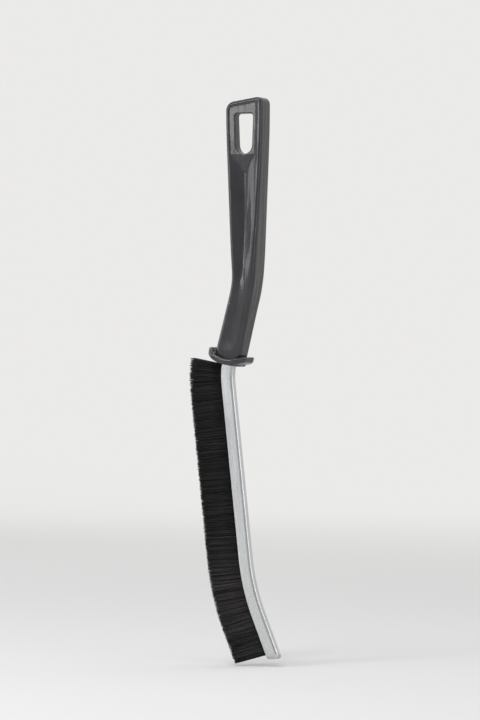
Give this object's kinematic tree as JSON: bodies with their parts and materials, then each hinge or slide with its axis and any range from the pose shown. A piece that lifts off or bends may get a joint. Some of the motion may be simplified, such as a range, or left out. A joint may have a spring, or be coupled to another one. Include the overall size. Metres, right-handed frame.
{
  "type": "crevice brush",
  "caption": "Narrow curved strip brush for cleaning gaps, with a dished plastic handle, a hanging slot, a finger guard and a bent metal channel holding a row of stiff filaments.",
  "frame": {"origin": "middle of the top seat of the hanging slot, where a hook bears", "axes": "+Z along the brush, up as it hangs; -X towards the tips of the bristles; +Y square to the broad faces, through the thickness"},
  "size_m": [0.0508, 0.0184, 0.2839],
  "materials": {
    "handle_plastic": "glossy dark grey moulding",
    "channel_steel": "bright satin sheet",
    "wire_steel": "drawn wire",
    "filament": "black filaments with a slight sheen"
  },
  "bodies": {
    "root": {"handle": "handle_plastic", "channel": "channel_steel", "core_wire": "wire_steel", "bristle_bunch_01": "filament", "bristle_bunch_02": "filament", "bristle_bunch_03": "filament", "bristle_bunch_04": "filament", "bristle_bunch_05": "filament", "bristle_bunch_06": "filament", "bristle_bunch_07": "filament", "bristle_bunch_08": "filament", "bristle_bunch_09": "filament", "bristle_bunch_10": "filament", "bristle_bunch_11": "filament", "bristle_bunch_12": "filament", "bristle_bunch_13": "filament", "bristle_bunch_14": "filament", "bristle_bunch_15": "filament", "bristle_bunch_16": "filament", "bristle_bunch_17": "filament"}
  },
  "joints": []
}
